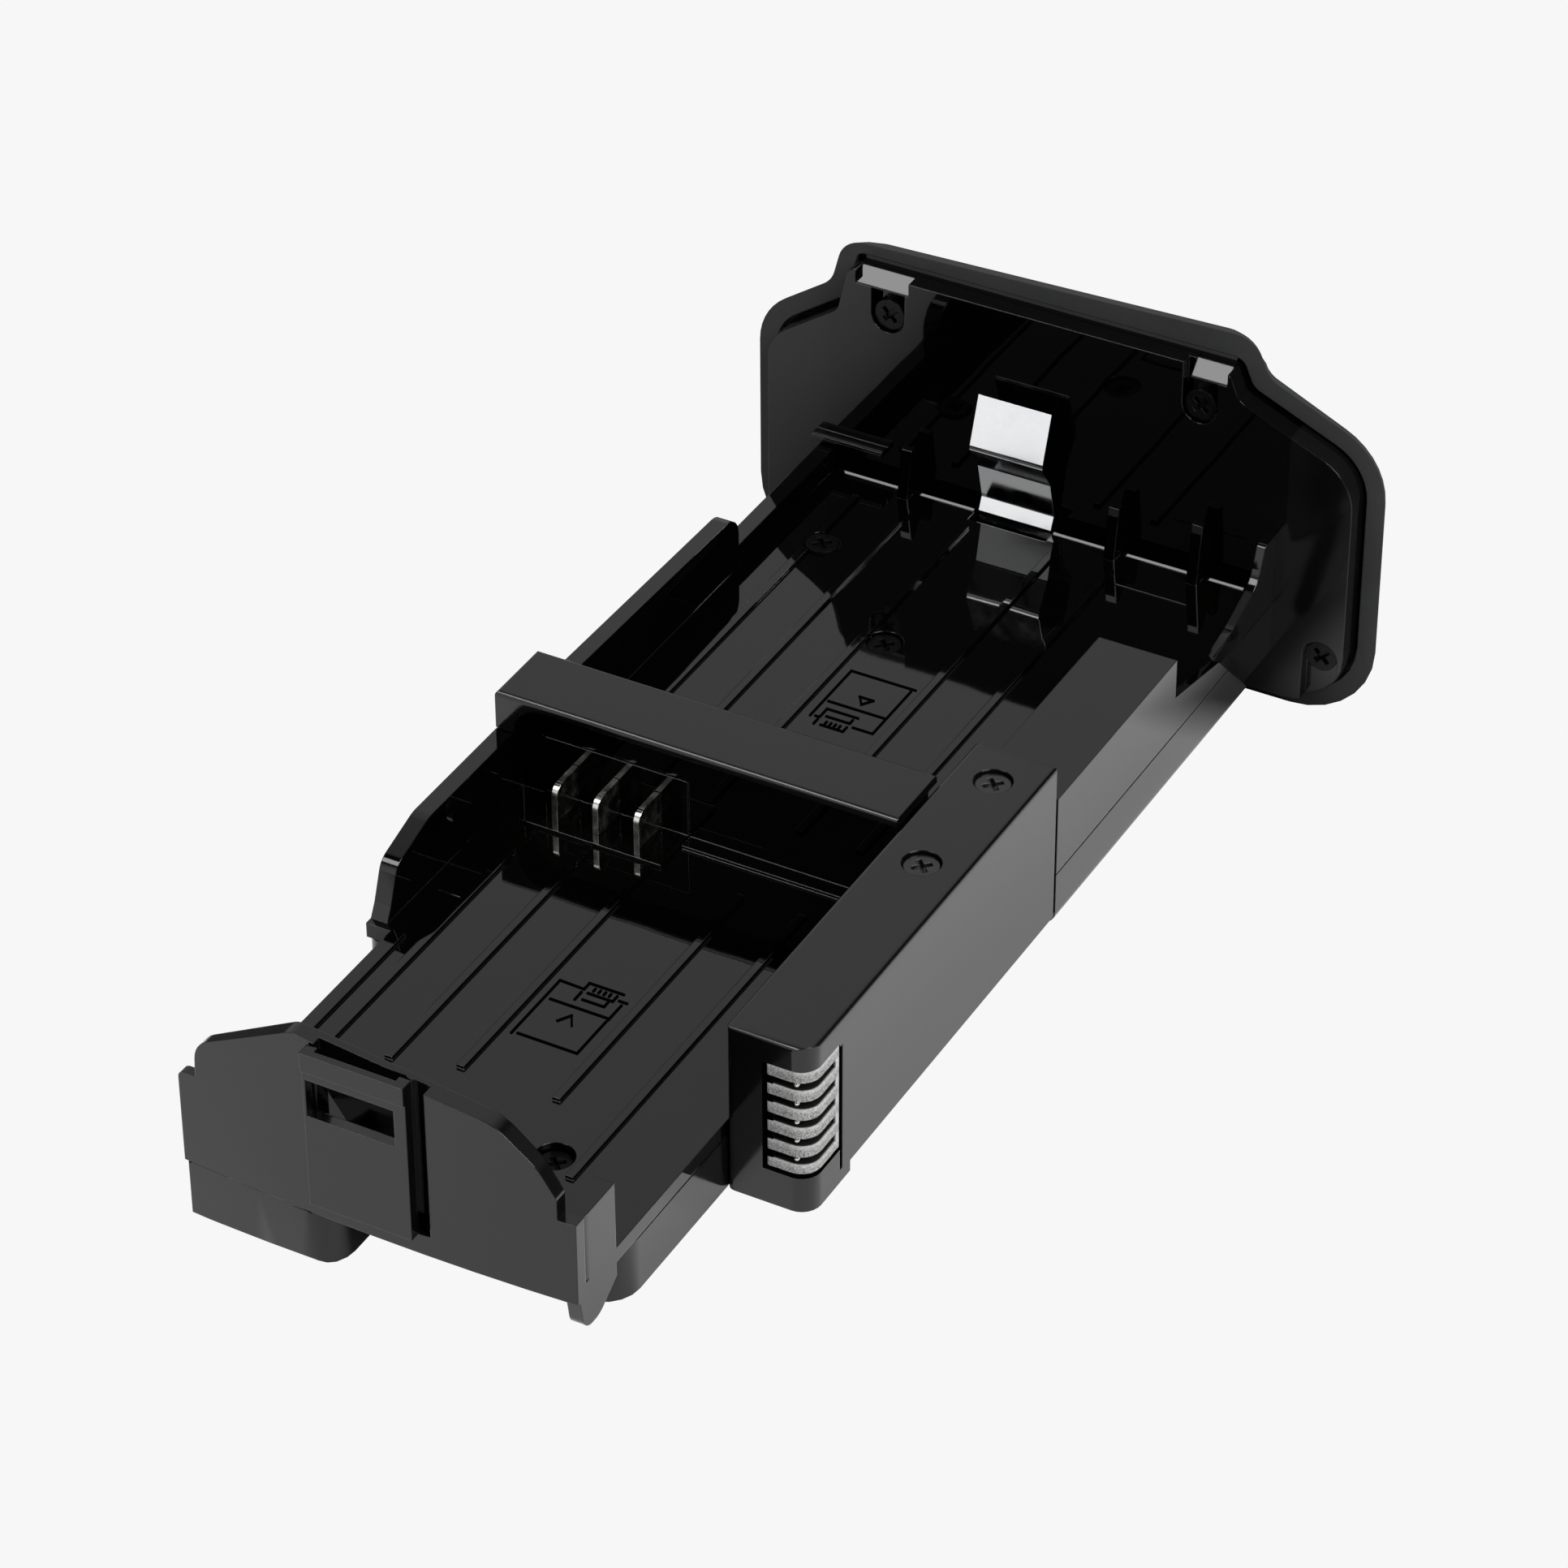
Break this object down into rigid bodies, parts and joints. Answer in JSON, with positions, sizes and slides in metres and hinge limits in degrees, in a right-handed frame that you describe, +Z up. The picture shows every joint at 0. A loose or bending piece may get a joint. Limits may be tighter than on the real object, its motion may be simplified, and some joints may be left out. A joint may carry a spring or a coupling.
{
  "type": "camera grip battery magazine",
  "caption": "Open tray with two battery bays end to end, divider contacts, side terminal housing and leaf springs, on a sealing end cap with a turn-and-fold release knob.",
  "frame": {"origin": "on the flat underside of the tray, on the tray's middle line, under the front face of the divider", "axes": "+X along the tray from the near end to the end cap, +Y to the winged side, -Y to the terminal housing, +Z up from the underside"},
  "size_m": [0.1403, 0.0704, 0.0416],
  "materials": {
    "gloss_black": "polished moulded plastic",
    "satin_black": "satin moulded plastic",
    "matte_black": "fine grained",
    "comb_grey": "light grey, speckled",
    "plated": "bright plated contact metal",
    "strip_brass": "plain",
    "board": "coated board",
    "spring_steel": "bright strip",
    "zinc": "die cast",
    "screw_black": "blackened"
  },
  "bodies": {
    "tray": {"tray_body": "gloss_black", "base_cover": "gloss_black", "divider_bridge": "satin_black", "housing_cover": "satin_black", "terminal_comb": "comb_grey", "terminal_contacts": "plated", "circuit_board": "board", "bus_strips": "strip_brass", "front_contact_block": "gloss_black", "rear_contact_block": "gloss_black", "front_contacts": "plated", "rear_contacts": "plated", "spring_pocket_cover": "satin_black", "cap_inner_plate": "gloss_black", "cap_shell": "matte_black", "housing_screws": "screw_black", "floor_screws": "screw_black", "cap_screws": "screw_black", "tray_end_screws": "screw_black", "knob_washer": "spring_steel"},
    "knob": {"release_knob": "matte_black", "latch_cam": "zinc", "cam_screw": "screw_black", "handle_pin": "spring_steel"},
    "handle": {"knob_handle": "satin_black"},
    "latch": {"latch_slide": "spring_steel"},
    "front_spring": {"front_leaf_spring": "spring_steel"},
    "rear_spring": {"rear_leaf_spring": "spring_steel"}
  },
  "joints": [
    {"name": "knob_turn", "type": "hinge", "parent": "tray", "child": "knob", "pos_m": [0.0767, 0, 0.01335], "axis": [-1, 0, 0], "range_deg": [0, 90]},
    {"name": "handle_fold", "type": "hinge", "parent": "knob", "child": "handle", "pos_m": [0.078, 0, 0.01335], "axis": [0, -1, 0], "range_deg": [0, 95]},
    {"name": "latch_travel", "type": "slide", "parent": "tray", "child": "latch", "axis": [0, 0, -1], "range_m": [0, 0.0022]},
    {"name": "front_spring_bend", "type": "hinge", "parent": "tray", "child": "front_spring", "pos_m": [-0.05945, 0, 0.0236], "axis": [0, 1, 0], "range_deg": [0, 9], "stiffness_Nm_per_rad": 0.27},
    {"name": "rear_spring_bend", "type": "hinge", "parent": "tray", "child": "rear_spring", "pos_m": [0.06525, 0, 0.0061], "axis": [0, 1, 0], "range_deg": [0, 6], "stiffness_Nm_per_rad": 0.45}
  ],
  "couplings": [
    {"joint": "knob_turn", "follows": "latch_travel", "rad_per_m": 713.99}
  ]
}
